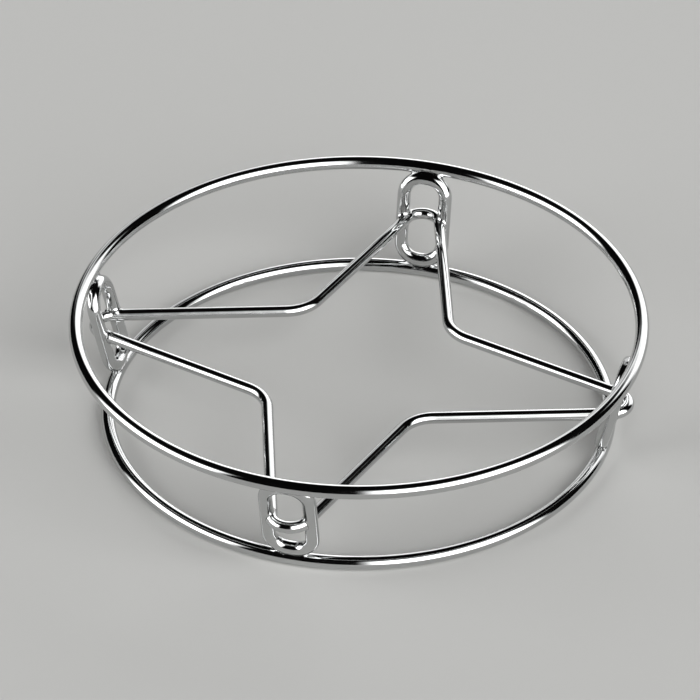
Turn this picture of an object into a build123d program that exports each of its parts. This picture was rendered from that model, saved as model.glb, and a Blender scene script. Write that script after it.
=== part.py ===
from build123d import *
from math import cos, pi, radians, sin
import os

# Welded wire pot stand: two rings joined by foot loops, with one star wire threaded through the loops.
# The origin is at the bottom, under the middle of the stand, and a foot loop stands on each axis.

# Driving dimensions, in millimetres and degrees
ring_wire = 6.0  # wire diameter of both rings
loop_wire = 6.0  # wire diameter of the foot loops
star_wire = 5.2  # wire diameter of the star
upper_ring_outer = 250.0  # outside diameter of the upper ring
lower_ring_outer = 224.5  # outside diameter of the lower ring, on which the stand rests
stand_height = 53.0  # bottom of the lower ring to the top of the upper ring
foot_count = 4  # foot loops, evenly spaced, and arms of the star
loop_width = 25.0  # outside width of a foot loop
loop_straight = 2.0  # straight left between the round corners of a foot loop's top and bottom bars
seat_angle = 43.5  # how far below level a loop meets the upper ring's inner side
ring_set_down = 0.8  # depth that a ring beds into a loop at its weld
star_height = 26.6  # bottom of the lower ring to the star's centre line
star_overhang = 5.7  # centre line of a star tip beyond the centre line of its loop
star_set_down = 3.7  # depth that the star beds into a loop's leg at its weld
arm_lean = 17.0  # angle between an arm of the star and the radius through its tip
star_inner_bend = 17.0  # centre-line radius of the star's bends nearest the middle

# Rings: centre-line radii and heights
upper_radius = (upper_ring_outer - ring_wire) / 2
lower_radius = (lower_ring_outer - ring_wire) / 2
upper_height = stand_height - ring_wire / 2
lower_height = ring_wire / 2

# Foot loop: its top bar leans on the upper ring's inner lower side, its bottom bar stands on the lower ring
seat_reach = (ring_wire + loop_wire) / 2 - ring_set_down
top_bar = Vector(
    upper_radius - seat_reach * cos(radians(seat_angle)),
    0,
    upper_height - seat_reach * sin(radians(seat_angle)),
)
bottom_bar = Vector(lower_radius, 0, lower_height + seat_reach)
rise = top_bar - bottom_bar
across = Vector(0, 1, 0)
loop_plane = Plane(origin=bottom_bar, x_dir=across, z_dir=across.cross(rise))
leg_offset = (loop_width - loop_wire) / 2
loop_corner = leg_offset - loop_straight / 2

# Star: an arm's centre line passes a leg's at leg_gap, which sets how tightly the tip's hairpin is bent
arm = radians(arm_lean)
foot_half_angle = pi / foot_count
leg_radius = bottom_bar.X + (star_height - bottom_bar.Z) * rise.X / rise.Z
leg_gap = (loop_wire + star_wire) / 2 - star_set_down
tip_bend = (leg_offset * cos(arm) - star_overhang * sin(arm) - leg_gap) / (1 - sin(arm))
tip_radius = leg_radius + star_overhang
point_radius = tip_radius - tip_bend + tip_bend / sin(arm)
hollow_radius = point_radius * sin(arm) / sin(arm + foot_half_angle)

os.makedirs("parts", exist_ok=True)

with BuildPart() as upper_ring:
    with BuildSketch(Plane.XZ):
        with Locations((upper_radius, upper_height)):
            Circle(ring_wire / 2)
    revolve(axis=Axis.Z)

with BuildPart() as lower_ring:
    with BuildSketch(Plane.XZ):
        with Locations((lower_radius, lower_height)):
            Circle(ring_wire / 2)
    revolve(axis=Axis.Z)

# The star is a polygon of points and hollows in turn, with every corner bent round
corners = []
for foot in range(foot_count):
    point_turn = 2 * foot * foot_half_angle
    hollow_turn = point_turn + foot_half_angle
    corners.append((point_radius * cos(point_turn), point_radius * sin(point_turn)))
    corners.append((hollow_radius * cos(hollow_turn), hollow_radius * sin(hollow_turn)))

with BuildPart() as star:
    with BuildLine(Plane.XY.offset(star_height)) as star_path:
        FilletPolyline(*corners, radius=[tip_bend, star_inner_bend] * foot_count, close=True)
    with BuildSketch(Plane(origin=star_path.line @ 0, z_dir=star_path.line % 0)):
        Circle(star_wire / 2)
    sweep(path=star_path.wire())

# A closed rounded oblong, bedded onto both rings and onto the star where they are welded
with BuildPart() as foot_loop:
    with BuildLine(loop_plane) as loop_path:
        FilletPolyline(
            (-leg_offset, 0),
            (leg_offset, 0),
            (leg_offset, rise.length),
            (-leg_offset, rise.length),
            radius=loop_corner,
            close=True,
        )
    with BuildSketch(Plane(origin=loop_path.line @ 0, z_dir=loop_path.line % 0)):
        Circle(loop_wire / 2)
    sweep(path=loop_path.wire())
    add(upper_ring.part, mode=Mode.SUBTRACT)
    add(lower_ring.part, mode=Mode.SUBTRACT)
    add(star.part, mode=Mode.SUBTRACT)

upper_ring.part.label = "upper_ring"
export_step(upper_ring.part, "parts/upper_ring.step")

lower_ring.part.label = "lower_ring"
export_step(lower_ring.part, "parts/lower_ring.step")

star.part.label = "star_wire"
export_step(star.part, "parts/star_wire.step")

for foot in range(foot_count):
    placed_loop = foot_loop.part.rotate(Axis.Z, foot * 360 / foot_count)
    placed_loop.label = f"foot_loop_{foot + 1}"
    export_step(placed_loop, f"parts/{placed_loop.label}.step")
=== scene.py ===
"""Welded wire pot stand, dressed for a picture: plated wires with weld fillets, on a plain stage."""

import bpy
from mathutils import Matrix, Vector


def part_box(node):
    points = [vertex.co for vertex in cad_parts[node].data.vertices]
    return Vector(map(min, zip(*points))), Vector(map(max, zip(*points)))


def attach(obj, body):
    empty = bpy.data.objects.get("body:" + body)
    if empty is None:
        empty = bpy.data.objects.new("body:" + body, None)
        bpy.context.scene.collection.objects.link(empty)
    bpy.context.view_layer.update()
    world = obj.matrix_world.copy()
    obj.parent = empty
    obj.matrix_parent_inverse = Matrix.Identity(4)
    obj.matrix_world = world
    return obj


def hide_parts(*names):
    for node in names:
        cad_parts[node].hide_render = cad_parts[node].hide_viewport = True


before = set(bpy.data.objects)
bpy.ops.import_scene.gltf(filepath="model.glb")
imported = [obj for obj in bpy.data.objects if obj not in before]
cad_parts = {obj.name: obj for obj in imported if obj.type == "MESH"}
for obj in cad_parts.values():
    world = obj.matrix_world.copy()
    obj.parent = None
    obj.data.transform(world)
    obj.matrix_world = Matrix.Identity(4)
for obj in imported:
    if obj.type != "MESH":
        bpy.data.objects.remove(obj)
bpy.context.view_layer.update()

from copy import copy
from math import cos, pi, radians, sin, tan
from typing import NamedTuple

import bpy
import numpy as np
from bpy.props import FloatProperty, FloatVectorProperty, PointerProperty
from mathutils import Vector

bl_info = {
    "name": "Wire pot stand",
    "version": (1, 0, 0),
    "blender": (4, 5, 0),
    "location": "View3D > Sidebar > Pot stand",
    "description": "Builds a chrome-plated wire pot stand on its frame, with a plain stage",
    "category": "Add Mesh",
}

MM = 0.001
FOOT_LOOPS = sorted(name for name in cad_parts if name.startswith("foot_loop"))

# Meshes of the wires
SECTION_POINTS = 56  # points round a wire
FINE_STEP = 0.3 * MM  # distance between a wire's sections at a weld
COARSE_STEP = 1.4 * MM  # and away from the welds

# Welds
LUMP_LENGTH = 4 * MM  # length of the lumps that make a fillet uneven
WIDEST_FILLET = 1.5  # more than the widest fillet's share of the mean reach
DEEPEST_BED = 0.9  # share of a loop's wire radius that a ring or the star may bed into it
FILLET_STEPS = 14  # steps in which a fillet's height settles
SADDLE_STEPS = 24  # and a saddle's depth

# Stage
FLOOR_HALF_WIDTH = 7.0  # metres
CAMERA_SIGHT = 40.0  # metres to the farthest thing that the camera shows


class SoftBox(NamedTuple):
    """A soft box that stands on the floor, in degrees as the stand sees it, and its share of the light.

    Its sides fade from side_fade within half_width to side_fade beyond it, and its top does likewise.
    """

    azimuth: float  # of its middle, from the -Y side
    half_width: float
    side_fade: float
    top: float
    top_fade: float
    share: float


# Front right, front left, behind, and low behind
SOFT_BOXES = (
    SoftBox(azimuth=56.5, half_width=33.5, side_fade=10, top=53, top_fade=12, share=1.0),
    SoftBox(azimuth=-65.5, half_width=24.5, side_fade=9, top=37, top_fade=8, share=1.0),
    SoftBox(azimuth=167, half_width=30, side_fade=7, top=38, top_fade=4, share=0.4),
    SoftBox(azimuth=197, half_width=17, side_fade=5, top=26, top_fade=8, share=0.2),
)


def frame_size(node, axis):
    """Size of a frame node along an axis, to a tenth of a millimetre, as its facets fall a little short."""
    low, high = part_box(node)
    return round(high[axis] - low[axis], 4)


def linear(hex_colour):
    """Linear red, green and blue of an sRGB colour written as six hex digits."""
    srgb = np.array([int(hex_colour[i : i + 2], 16) / 255 for i in (1, 3, 5)])
    return tuple(np.where(srgb <= 0.04045, srgb / 12.92, ((srgb + 0.055) / 1.055) ** 2.4))


class PotStandSizes(bpy.types.PropertyGroup):
    """Sizes and colour of the stand. What the frame shows is read from it."""

    ring_wire: FloatProperty(
        name="Ring wire",
        description="Diameter of both rings' wire",
        default=frame_size("upper_ring", 2),
        unit="LENGTH",
    )
    loop_wire: FloatProperty(
        name="Loop wire",
        description="Diameter of the foot loops' wire",
        default=6.0 * MM,
        unit="LENGTH",
    )
    star_wire: FloatProperty(
        name="Star wire",
        description="Diameter of the star's wire",
        default=frame_size("star_wire", 2),
        unit="LENGTH",
    )
    upper_ring_outer: FloatProperty(
        name="Upper ring",
        description="Outside diameter of the upper ring",
        default=frame_size("upper_ring", 0),
        unit="LENGTH",
    )
    lower_ring_outer: FloatProperty(
        name="Lower ring",
        description="Outside diameter of the lower ring",
        default=frame_size("lower_ring", 0),
        unit="LENGTH",
    )
    stand_height: FloatProperty(
        name="Height",
        description="Floor to the top of the upper ring",
        default=round(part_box("upper_ring")[1].z, 4),
        unit="LENGTH",
    )
    star_across: FloatProperty(
        name="Star",
        description="Star from tip to tip, over the wire",
        default=frame_size("star_wire", 0),
        unit="LENGTH",
    )
    star_height: FloatProperty(
        name="Star height",
        description="Floor to the star's centre line",
        default=round(sum(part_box("star_wire"), Vector()).z / 2, 4),
        unit="LENGTH",
    )
    loop_width: FloatProperty(
        name="Loop width",
        description="Outside width of a foot loop",
        default=frame_size(FOOT_LOOPS[0], 1),
        unit="LENGTH",
    )
    loop_corner: FloatProperty(
        name="Loop corner",
        description="Bend radius of a foot loop's corners, on the centre line",
        default=8.5 * MM,
        unit="LENGTH",
    )
    seat_angle: FloatProperty(
        name="Seat angle",
        description="How far below level a loop meets the upper ring's inner side",
        default=radians(43.5),
        subtype="ANGLE",
    )
    ring_set_down: FloatProperty(
        name="Ring set-down",
        description="Depth that a ring beds into a loop at its weld",
        default=0.8 * MM,
        unit="LENGTH",
    )
    star_set_down: FloatProperty(
        name="Star set-down",
        description="Depth that the star beds into a loop's leg at its weld",
        default=3.7 * MM,
        unit="LENGTH",
    )
    arm_lean: FloatProperty(
        name="Arm lean",
        description="Angle between an arm of the star and the radius through its tip",
        default=radians(17.0),
        subtype="ANGLE",
    )
    star_inner_bend: FloatProperty(
        name="Star inner bend",
        description="Bend radius of the star nearest the middle, on the centre line",
        default=17.0 * MM,
        unit="LENGTH",
    )
    weld_reach: FloatProperty(
        name="Weld reach",
        description="How far a weld's fillet spreads from the crease onto each wire",
        default=1.5 * MM,
        unit="LENGTH",
    )
    chrome: FloatVectorProperty(
        name="Chrome",
        description="Reflection colour of the plating",
        default=linear("#C4C5C5"),
        subtype="COLOR",
        min=0,
        max=1,
    )


class PotStandStage(bpy.types.PropertyGroup):
    """Floor, light and camera of the picture."""

    floor: FloatVectorProperty(
        name="Floor",
        description="Colour of the floor",
        default=linear("#BCBCBA"),
        subtype="COLOR",
        min=0,
        max=1,
    )
    box_light: FloatProperty(
        name="Soft boxes",
        description="Strength of the soft boxes round the stage",
        default=6.3,
    )
    room_light: FloatProperty(
        name="Room",
        description="Strength of the dim room behind the soft boxes",
        default=0.004,
    )
    azimuth: FloatProperty(
        name="Camera azimuth",
        description="Turn of the camera round the stand from the -Y side",
        default=radians(14.75),
        subtype="ANGLE",
    )
    elevation: FloatProperty(
        name="Camera elevation",
        description="Height of the camera above the horizon",
        default=radians(36.6),
        subtype="ANGLE",
    )
    distance: FloatProperty(
        name="Camera distance",
        description="Camera to the middle of the stand, on the floor",
        default=2.194,
        unit="LENGTH",
    )
    lens: FloatProperty(
        name="Lens",
        description="Focal length on a sensor 36 mm wide",
        default=258.4,
        subtype="DISTANCE_CAMERA",
    )
    aim_height: FloatProperty(
        name="Aim height",
        description="Height on the stand's axis at the middle of the picture",
        default=33.9 * MM,
        unit="LENGTH",
    )
    aim_left: FloatProperty(
        name="Aim left",
        description="How far left of the stand's axis the picture's middle is",
        default=3.8 * MM,
        unit="LENGTH",
    )


class BentWire:
    """A round wire bent in one plane, held as a bender's list of runs, each a length and the angle it turns.

    The heading at a distance t along a run is the run's first heading plus its curvature times t. The place
    there is the run's start plus a chord along the mean heading. The chord is t times sin(x) / x, where x is
    half the angle turned.
    """

    def __init__(self, wire, origin, axes, start, heading, runs):
        self.radius = wire / 2
        self.origin = np.array(origin)
        self.axes = np.array(axes)
        self.lengths = np.array([length for length, turn in runs])
        self.turns = np.array([turn for length, turn in runs])
        self.ends = np.cumsum(self.lengths)
        self.headings = heading + np.concatenate(([0.0], np.cumsum(self.turns)[:-1]))
        chords = self.lengths * np.sinc(self.turns / 2 / pi)
        mean = self.headings + self.turns / 2
        steps = np.stack((chords * np.cos(mean), chords * np.sin(mean)), axis=1)
        self.starts = np.array(start) + np.concatenate((np.zeros((1, 2)), np.cumsum(steps, axis=0)[:-1]))

    @property
    def length(self):
        """Length of the centre line, all round."""
        return self.ends[-1]

    def turned(self, angle):
        """The same wire turned about the Z axis."""
        turn = np.array(((cos(angle), sin(angle), 0), (-sin(angle), cos(angle), 0), (0, 0, 1)))
        twin = copy(self)
        twin.origin = self.origin @ turn
        twin.axes = self.axes @ turn
        return twin

    def follow(self, distances):
        """Places on the centre line, and the direction to its outer side, at distances along it."""
        run = np.minimum(np.searchsorted(self.ends, distances, side="right"), len(self.ends) - 1)
        along = distances - self.ends[run] + self.lengths[run]
        half_turn = along * (self.turns / self.lengths)[run] / 2
        mean = self.headings[run] + half_turn
        chord = along * np.sinc(half_turn / pi)
        flat = self.starts[run] + chord[:, None] * np.stack((np.cos(mean), np.sin(mean)), axis=1)
        heading = mean + half_turn
        outer = np.stack((np.sin(heading), -np.cos(heading)), axis=1)
        return self.origin + flat @ self.axes[:2], outer @ self.axes[:2]

    def clearance(self, points):
        """Distance from points to the wire's surface, negative inside it.

        In the wire's plane it is the least distance to any run, a straight or an arc. Pythagoras adds the
        height off the plane, and the wire's radius comes off.
        """
        local = (points - self.origin) @ self.axes.T
        flat, height = local[:, :2], local[:, 2]
        nearest = np.full(len(points), np.inf)
        for start, heading, length, turn in zip(self.starts, self.headings, self.lengths, self.turns):
            ahead = np.array((cos(heading), sin(heading)))
            if turn == 0:
                along = np.clip((flat - start) @ ahead, 0, length)
                gap = np.linalg.norm(flat - start - along[:, None] * ahead, axis=1)
            else:
                bend = length / turn
                middle = start + bend * np.array((-ahead[1], ahead[0]))
                spoke = (flat - middle) * np.sign(turn)
                first = heading - pi / 2
                swept = (np.arctan2(spoke[:, 1], spoke[:, 0]) - first) * np.sign(turn) % (2 * pi)
                spare = 2 * pi - abs(turn)
                swept = np.where(swept > abs(turn) + spare / 2, 0, np.minimum(swept, abs(turn)))
                angle = first + swept * np.sign(turn)
                on_arc = middle + bend * np.stack((np.cos(angle), np.sin(angle)), axis=1)
                gap = np.linalg.norm(flat - on_arc, axis=1)
            nearest = np.minimum(nearest, gap)
        return np.hypot(nearest, height) - self.radius


def stand_wires(sizes):
    """The stand's seven wires, from its sizes: a dictionary from frame node to bent wire."""
    upper_radius = (sizes.upper_ring_outer - sizes.ring_wire) / 2
    lower_radius = (sizes.lower_ring_outer - sizes.ring_wire) / 2
    upper_height = sizes.stand_height - sizes.ring_wire / 2
    lower_height = sizes.ring_wire / 2
    level = np.eye(3)

    def ring(radius, height):
        whole_turn = [(2 * pi * radius, 2 * pi)]
        return BentWire(sizes.ring_wire, (0, 0, height), level, (radius, 0), pi / 2, whole_turn)

    # A loop's top bar leans on the upper ring's inner lower side, and its bottom bar stands on the lower ring
    seat_reach = (sizes.ring_wire + sizes.loop_wire) / 2 - sizes.ring_set_down
    top_bar = np.array(
        (
            upper_radius - seat_reach * cos(sizes.seat_angle),
            0,
            upper_height - seat_reach * sin(sizes.seat_angle),
        )
    )
    bottom_bar = np.array((lower_radius, 0, lower_height + seat_reach))
    rise = top_bar - bottom_bar
    upward = rise / np.linalg.norm(rise)
    across = np.array((0.0, 1.0, 0.0))
    leg_offset = (sizes.loop_width - sizes.loop_wire) / 2
    corner = (sizes.loop_corner * pi / 2, pi / 2)
    half_bar = (leg_offset - sizes.loop_corner, 0)
    leg = (np.linalg.norm(rise) - 2 * sizes.loop_corner, 0)
    full_bar = (2 * half_bar[0], 0)
    loop_runs = [half_bar, corner, leg, corner, full_bar, corner, leg, corner, half_bar]
    loop_axes = (across, upward, np.cross(across, upward))
    loop = BentWire(sizes.loop_wire, bottom_bar, loop_axes, (0, 0), 0, loop_runs)

    # The star goes tip, straight arm, inner bend, straight arm, tip. A tip's bend is the one that lets both
    # of its arms pass a leg's centre line at leg_gap. The two arms' lines cross at point_radius, and the law
    # of sines gives the side from there to the inner corner. The straight is what the two bends leave of it.
    arm = sizes.arm_lean
    half_angle = pi / len(FOOT_LOOPS)
    tip_radius = (sizes.star_across - sizes.star_wire) / 2
    leg_radius = bottom_bar[0] + (sizes.star_height - bottom_bar[2]) * rise[0] / rise[2]
    leg_gap = (sizes.loop_wire + sizes.star_wire) / 2 - sizes.star_set_down
    overhang = tip_radius - leg_radius
    tip_bend = (leg_offset * cos(arm) - overhang * sin(arm) - leg_gap) / (1 - sin(arm))
    point_radius = tip_radius - tip_bend + tip_bend / sin(arm)
    side = point_radius * sin(half_angle) / sin(arm + half_angle)
    half_tip_turn = pi / 2 - arm
    inner_turn = 2 * (half_tip_turn - half_angle)
    straight = side - tip_bend * tan(half_tip_turn) - sizes.star_inner_bend * tan(inner_turn / 2)
    half_tip = (tip_bend * half_tip_turn, half_tip_turn)
    inner = (sizes.star_inner_bend * inner_turn, -inner_turn)
    star_runs = [half_tip, (straight, 0), inner, (straight, 0), half_tip] * len(FOOT_LOOPS)
    star_middle = (0, 0, sizes.star_height)
    star = BentWire(sizes.star_wire, star_middle, level, (tip_radius, 0), pi / 2, star_runs)

    wires = {
        "upper_ring": ring(upper_radius, upper_height),
        "lower_ring": ring(lower_radius, lower_height),
        "star_wire": star,
    }
    for place, name in enumerate(FOOT_LOOPS):
        wires[name] = loop.turned(2 * half_angle * place)
    return wires


def nearest_clearance(wires, points):
    """Least clearance from points to any of the wires."""
    return np.min([wire.clearance(points) for wire in wires], axis=0)


def weld_spread(points, reach):
    """Reach of a weld's fillet at points: the mean reach, made uneven by up to a third.

    The unevenness is a sum of three sines of about LUMP_LENGTH, one along each axis. The phases of those
    along X and Z wander with each other's distance, so that no two welds are alike.
    """
    x, y, z = (points / LUMP_LENGTH * 2 * pi).T
    along_x = np.sin(x + 1.3 * np.sin(0.7 * z))
    along_y = np.sin(1.2 * y + 0.9)
    along_z = np.sin(1.1 * z + 0.8 * np.sin(0.6 * x))
    return reach * (1 + (along_x + along_y + along_z) / 9)


def weld_lift(points, outward, neighbours, reach, bed):
    """How far each point of a wire's surface is moved outwards to blend the wire into its neighbours.

    Outside the neighbours, the blend is the fillet whose distances a and b from the two wires satisfy
    sqrt(a) + sqrt(b) = sqrt(reach). It is followed up to its middle, where a = b, and from there to the
    crease the point stays under it. Inside a neighbour the point goes inwards to the neighbour's surface, by
    no more than bed. The clearance that the points started with is given as well.
    """
    lift = np.zeros(len(points))
    start_gap = nearest_clearance(neighbours, points)
    near = np.flatnonzero((start_gap >= 0) & (start_gap < WIDEST_FILLET * reach))
    for _ in range(FILLET_STEPS):
        moved = points[near] + lift[near, None] * outward[near]
        spread = weld_spread(moved, reach)
        gap = np.clip(nearest_clearance(neighbours, moved), 0, spread)
        fillet = (np.sqrt(spread) - np.sqrt(gap)) ** 2
        lift[near] = (lift[near] + np.minimum(fillet, gap)) / 2
    inside = np.flatnonzero(start_gap < 0)
    for _ in range(SADDLE_STEPS):
        moved = points[inside] + lift[inside, None] * outward[inside]
        sunk = np.minimum(nearest_clearance(neighbours, moved), 0)
        lift[inside] = np.maximum(lift[inside] + sunk, -bed)
    return lift, start_gap


def wire_mesh(name, wire, neighbours, reach, bedded=False):
    """Mesh of a wire: a circle carried round its centre line, lifted into a fillet at each weld.

    A point is the centre line's place plus the radius times (cos(v) outer side + sin(v) plane normal).
    Sections are a fine step apart within two reaches of a weld, and a coarse step apart beyond six. The UV
    map holds millimetres along and round the wire, and the attribute weld goes from 1 at a weld to 0 away
    from it.
    """
    even = np.linspace(0, wire.length, int(wire.length / FINE_STEP))
    gap = nearest_clearance(neighbours, wire.follow(even)[0]) - wire.radius
    spacing = np.interp(gap, (2 * reach, 6 * reach), (FINE_STEP, COARSE_STEP))
    sections = np.concatenate(([0.0], np.cumsum(np.diff(even) / spacing[1:])))
    count = int(sections[-1])
    distances = np.interp(np.arange(count) * sections[-1] / count, sections, even)

    centre, outer = wire.follow(distances)
    v = np.arange(SECTION_POINTS) * 2 * pi / SECTION_POINTS
    outward = np.cos(v)[None, :, None] * outer[:, None] + np.sin(v)[None, :, None] * wire.axes[2]
    points = (centre[:, None] + wire.radius * outward).reshape(-1, 3)
    outward = outward.reshape(-1, 3)
    bed = DEEPEST_BED * wire.radius if bedded else 0
    lift, start_gap = weld_lift(points, outward, neighbours, reach, bed)
    points = points + lift[:, None] * outward

    along = np.repeat(np.arange(count), SECTION_POINTS)
    round_wire = np.tile(np.arange(SECTION_POINTS), count)
    corners_along = along[:, None] + np.array((0, 1, 1, 0))
    corners_round = round_wire[:, None] + np.array((0, 0, 1, 1))
    quads = corners_along % count * SECTION_POINTS + corners_round % SECTION_POINTS
    run_out = np.append(distances, wire.length)[corners_along]
    girth = corners_round * 2 * pi * wire.radius / SECTION_POINTS

    mesh = bpy.data.meshes.new(name)
    mesh.vertices.add(len(points))
    mesh.vertices.foreach_set("co", points.astype(np.float32).ravel())
    mesh.loops.add(quads.size)
    mesh.loops.foreach_set("vertex_index", quads.astype(np.int32).ravel())
    mesh.polygons.add(len(quads))
    mesh.polygons.foreach_set("loop_start", np.arange(0, quads.size, 4, dtype=np.int32))
    mesh.update(calc_edges=True)
    mesh.shade_smooth()
    uv = np.stack((run_out, girth), axis=-1) / MM
    mesh.uv_layers.new(name="along_wire").data.foreach_set("uv", uv.astype(np.float32).ravel())
    weld = np.clip(1 - start_gap / (2 * reach), 0, 1)
    mesh.attributes.new("weld", "FLOAT", "POINT").data.foreach_set("value", weld.astype(np.float32))
    if mesh.validate():
        raise RuntimeError(f"the mesh of {name} has faults")
    return mesh


def add_node(tree, kind, sockets=None, **settings):
    """Adds a node with its settings. Each of its sockets named is linked from another, or set to a value."""
    node = tree.nodes.new(kind)
    for setting, value in settings.items():
        setattr(node, setting, value)
    for socket, value in (sockets or {}).items():
        if isinstance(value, bpy.types.NodeSocket):
            tree.links.new(value, node.inputs[socket])
        else:
            node.inputs[socket].default_value = value
    return node


def new_material(name):
    """An empty node material of that name, which takes the place of an older one."""
    old = bpy.data.materials.get(name)
    if old:
        bpy.data.materials.remove(old)
    material = bpy.data.materials.new(name)
    material.use_nodes = True
    material.node_tree.nodes.clear()
    return material


def chrome_plated_wire(sizes):
    """Bright chrome over nickel on drawn steel wire, plated after welding.

    It mirrors the room sharply and evenly, with a slow waviness that the drawing and bending leave under
    the plating, hazier patches where it was handled, and a rougher, greyer skin on the welds, which polish
    doesn't reach.
    """
    material = new_material("chrome_plated_wire")
    tree = material.node_tree
    place = add_node(tree, "ShaderNodeTexCoord").outputs["Object"]
    weld = add_node(tree, "ShaderNodeAttribute", attribute_name="weld").outputs["Fac"]

    # Hazy patches about 15 mm across, and a dull skin on the welds
    patches = add_node(
        tree,
        "ShaderNodeTexNoise",
        {"Vector": place, "Scale": 1 / (15 * MM), "Detail": 3.0, "Roughness": 0.6},
    )
    haze = add_node(
        tree,
        "ShaderNodeMapRange",
        {
            "Value": patches.outputs["Fac"],
            "From Min": 0.35,
            "From Max": 0.75,
            "To Min": 0.045,
            "To Max": 0.1,
        },
    )
    dull = add_node(tree, "ShaderNodeMapRange", {"Value": weld, "From Min": 0.3, "To Max": 0.06})
    roughness = add_node(
        tree,
        "ShaderNodeMath",
        {0: haze.outputs["Result"], 1: dull.outputs["Result"]},
        operation="ADD",
    )
    colour = add_node(
        tree,
        "ShaderNodeMix",
        {
            "Factor": dull.outputs["Result"],
            "A": (*sizes.chrome, 1),
            "B": (*linear("#8C8A86"), 1),
        },
        data_type="RGBA",
    )

    # Waviness about 9 mm long
    waves = add_node(tree, "ShaderNodeTexNoise", {"Vector": place, "Scale": 1 / (9 * MM), "Detail": 1.0})
    wavy = add_node(
        tree,
        "ShaderNodeBump",
        {"Height": waves.outputs["Fac"], "Strength": 1.0, "Distance": 0.03 * MM},
    )

    # Drawing lines along the wire. Real ones are a few hundredths of a millimetre apart, and these are drawn
    # 0.7 mm apart to show.
    wire_uv = add_node(tree, "ShaderNodeUVMap", uv_map="along_wire")
    drawn = add_node(
        tree,
        "ShaderNodeMapping",
        {"Vector": wire_uv.outputs["UV"], "Scale": (1 / 60, 1 / 0.7, 1)},
    )
    lines = add_node(
        tree,
        "ShaderNodeTexNoise",
        {"Vector": drawn.outputs["Vector"], "Scale": 1.0, "Detail": 2.0},
    )
    lined = add_node(
        tree,
        "ShaderNodeBump",
        {
            "Height": lines.outputs["Fac"],
            "Strength": 1.0,
            "Distance": 0.002 * MM,
            "Normal": wavy.outputs["Normal"],
        },
    )

    # Grains 1.1 mm across on the welds
    grains = add_node(tree, "ShaderNodeTexNoise", {"Vector": place, "Scale": 1 / (1.1 * MM), "Detail": 2.0})
    grainy = add_node(
        tree,
        "ShaderNodeMath",
        {0: grains.outputs["Fac"], 1: dull.outputs["Result"]},
        operation="MULTIPLY",
    )
    normal = add_node(
        tree,
        "ShaderNodeBump",
        {
            "Height": grainy.outputs["Value"],
            "Strength": 1.0,
            "Distance": 0.5 * MM,
            "Normal": lined.outputs["Normal"],
        },
    )
    plating = add_node(
        tree,
        "ShaderNodeBsdfPrincipled",
        {
            "Base Color": colour.outputs["Result"],
            "Metallic": 1.0,
            "Roughness": roughness.outputs["Value"],
            "Normal": normal.outputs["Normal"],
        },
    )
    add_node(tree, "ShaderNodeOutputMaterial", {"Surface": plating.outputs["BSDF"]})
    return material


def matt_floor(colour):
    """Matt painted board: a plain, even, pale floor with no gloss to mirror the stand."""
    material = new_material("matt_painted_board")
    tree = material.node_tree
    paint = add_node(
        tree,
        "ShaderNodeBsdfPrincipled",
        {"Base Color": (*colour, 1), "Roughness": 0.9, "Specular IOR Level": 0.2},
    )
    add_node(tree, "ShaderNodeOutputMaterial", {"Surface": paint.outputs["BSDF"]})
    return material


def show_mesh(name, mesh, material):
    """Puts a mesh with its material into the scene, at the origin, in place of an older one of that name."""
    old = bpy.data.objects.get(name)
    if old:
        bpy.data.objects.remove(old)
    piece = bpy.data.objects.new(name, mesh)
    mesh.materials.append(material)
    bpy.context.scene.collection.objects.link(piece)
    return piece


def add_wire_piece(context, node, welded_to, bedded=False):
    """Builds the plated wire that stands for a frame node, blended into the nodes that it is welded to."""
    sizes = context.scene.pot_stand
    wires = stand_wires(sizes)
    neighbours = [wires[name] for name in welded_to]
    name = f"{node}_plated"
    mesh = wire_mesh(name, wires[node], neighbours, sizes.weld_reach, bedded)
    material = bpy.data.materials.get("chrome_plated_wire") or chrome_plated_wire(sizes)
    piece = show_mesh(name, mesh, material)
    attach(piece, "root")
    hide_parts(node)


def add_floor(stage):
    """Lays a level square of matt board under the lower ring."""
    corners = FLOOR_HALF_WIDTH * np.array(((-1, -1, 0), (1, -1, 0), (1, 1, 0), (-1, 1, 0)))
    mesh = bpy.data.meshes.new("floor")
    mesh.from_pydata(corners.tolist(), [], [(0, 1, 2, 3)])
    show_mesh("floor", mesh, matt_floor(stage.floor))


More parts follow.
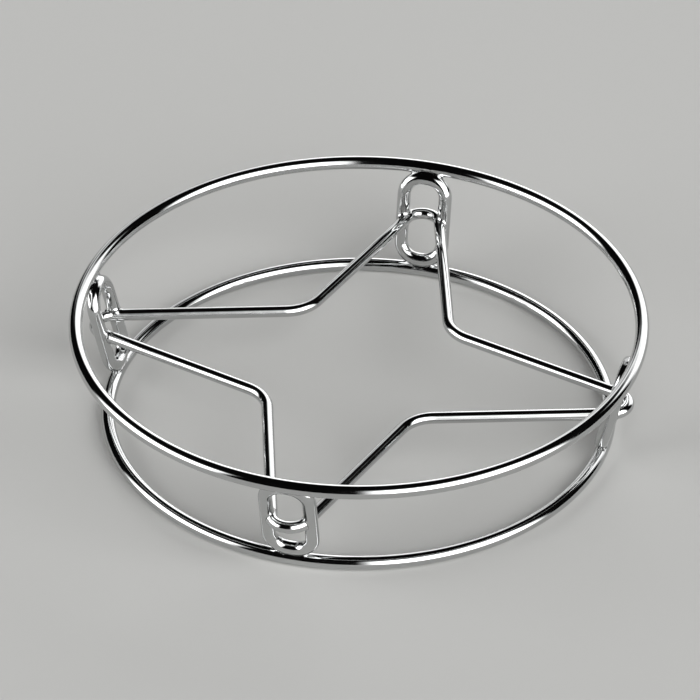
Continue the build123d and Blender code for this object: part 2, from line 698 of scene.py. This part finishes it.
def studio_world(stage):
    """A dim room with soft boxes round the stage.

    A direction's bearing is its level part, made one long. A soft box fades across by the cosine of the
    bearing from its middle, and upwards by the direction's height. The boxes' lights are added to the room's.
    """
    world = bpy.data.worlds.new("studio")
    world.use_nodes = True
    tree = world.node_tree
    tree.nodes.clear()
    direction = add_node(tree, "ShaderNodeTexCoord").outputs["Generated"]
    height = add_node(tree, "ShaderNodeSeparateXYZ", {"Vector": direction}).outputs["Z"]
    level = add_node(tree, "ShaderNodeVectorMath", {0: direction, 1: (1, 1, 0)}, operation="MULTIPLY")
    bearing = add_node(tree, "ShaderNodeVectorMath", {0: level.outputs["Vector"]}, operation="NORMALIZE")
    strength = stage.room_light
    for box in SOFT_BOXES:
        middle = (sin(radians(box.azimuth)), -cos(radians(box.azimuth)), 0)
        turn = add_node(
            tree,
            "ShaderNodeVectorMath",
            {0: bearing.outputs["Vector"], 1: middle},
            operation="DOT_PRODUCT",
        )
        across = add_node(
            tree,
            "ShaderNodeMapRange",
            {
                "Value": turn.outputs["Value"],
                "From Min": cos(radians(box.half_width + box.side_fade)),
                "From Max": cos(radians(box.half_width - box.side_fade)),
            },
            interpolation_type="SMOOTHSTEP",
        )
        upright = add_node(
            tree,
            "ShaderNodeMapRange",
            {
                "Value": height,
                "From Min": sin(radians(box.top + box.top_fade)),
                "From Max": sin(radians(box.top - box.top_fade)),
                "To Max": box.share * stage.box_light,
            },
            interpolation_type="SMOOTHSTEP",
        )
        lit = add_node(
            tree,
            "ShaderNodeMath",
            {0: across.outputs["Result"], 1: upright.outputs["Result"], 2: strength},
            operation="MULTIPLY_ADD",
        )
        strength = lit.outputs["Value"]
    light = add_node(tree, "ShaderNodeBackground", {"Strength": strength})
    add_node(tree, "ShaderNodeOutputWorld", {"Surface": light.outputs["Background"]})
    return world


def add_camera(stage):
    """A camera on a line up from the stand's middle, at its azimuth and elevation, turned to its aim."""
    back = Vector(
        (
            sin(stage.azimuth) * cos(stage.elevation),
            -cos(stage.azimuth) * cos(stage.elevation),
            sin(stage.elevation),
        )
    )
    left = Vector((-cos(stage.azimuth), -sin(stage.azimuth), 0))
    aim = Vector((0, 0, stage.aim_height)) + left * stage.aim_left
    camera = bpy.data.objects.new("camera", bpy.data.cameras.new("camera"))
    camera.data.lens = stage.lens
    camera.data.clip_end = CAMERA_SIGHT
    camera.location = back * stage.distance
    camera.rotation_mode = "QUATERNION"
    camera.rotation_quaternion = (aim - camera.location).to_track_quat("-Z", "Y")
    bpy.context.scene.collection.objects.link(camera)
    return camera


class POTSTAND_OT_rings(bpy.types.Operator):
    """Build the upper and the lower ring"""

    bl_idname = "potstand.rings"
    bl_label = "Rings"

    def execute(self, context):
        add_wire_piece(context, "upper_ring", FOOT_LOOPS)
        add_wire_piece(context, "lower_ring", FOOT_LOOPS)
        return {"FINISHED"}


class POTSTAND_OT_star(bpy.types.Operator):
    """Build the star wire, whose hairpins go through the foot loops"""

    bl_idname = "potstand.star"
    bl_label = "Star"

    def execute(self, context):
        add_wire_piece(context, "star_wire", FOOT_LOOPS)
        return {"FINISHED"}


class POTSTAND_OT_foot_loops(bpy.types.Operator):
    """Build the foot loops, bedded onto the rings and the star"""

    bl_idname = "potstand.foot_loops"
    bl_label = "Foot loops"

    def execute(self, context):
        for name in FOOT_LOOPS:
            add_wire_piece(context, name, ("upper_ring", "lower_ring", "star_wire"), bedded=True)
        return {"FINISHED"}


class POTSTAND_OT_stage(bpy.types.Operator):
    """Build the floor, the light and the camera"""

    bl_idname = "potstand.stage"
    bl_label = "Stage"

    def execute(self, context):
        scene = context.scene
        stage = scene.pot_stand_stage
        scene.view_settings.view_transform = "Standard"
        add_floor(stage)
        scene.world = studio_world(stage)
        scene.camera = add_camera(stage)
        return {"FINISHED"}


class POTSTAND_PT_sidebar(bpy.types.Panel):
    """Lists the stand's pieces, its sizes and the stage"""

    bl_idname = "POTSTAND_PT_sidebar"
    bl_label = "Wire pot stand"
    bl_space_type = "VIEW_3D"
    bl_region_type = "UI"
    bl_category = "Pot stand"

    def draw(self, context):
        for operator in OPERATORS:
            self.layout.operator(operator.bl_idname)
        for group in (context.scene.pot_stand, context.scene.pot_stand_stage):
            column = self.layout.column()
            for setting in group.bl_rna.properties:
                if setting.identifier not in ("rna_type", "name"):
                    column.prop(group, setting.identifier)


OPERATORS = (POTSTAND_OT_rings, POTSTAND_OT_star, POTSTAND_OT_foot_loops, POTSTAND_OT_stage)
CLASSES = (PotStandSizes, PotStandStage, *OPERATORS, POTSTAND_PT_sidebar)


def register():
    """Makes the settings, operators and panel known to Blender."""
    for cls in CLASSES:
        bpy.utils.register_class(cls)
    bpy.types.Scene.pot_stand = PointerProperty(type=PotStandSizes)
    bpy.types.Scene.pot_stand_stage = PointerProperty(type=PotStandStage)


def unregister():
    """Takes them out again, in the other order."""
    del bpy.types.Scene.pot_stand_stage
    del bpy.types.Scene.pot_stand
    for cls in reversed(CLASSES):
        bpy.utils.unregister_class(cls)


def main():
    """Builds the stand and its stage."""
    register()
    bpy.ops.potstand.rings()
    bpy.ops.potstand.star()
    bpy.ops.potstand.foot_loops()
    bpy.ops.potstand.stage()
    bpy.context.view_layer.update()


if __name__ == "__main__":
    main()
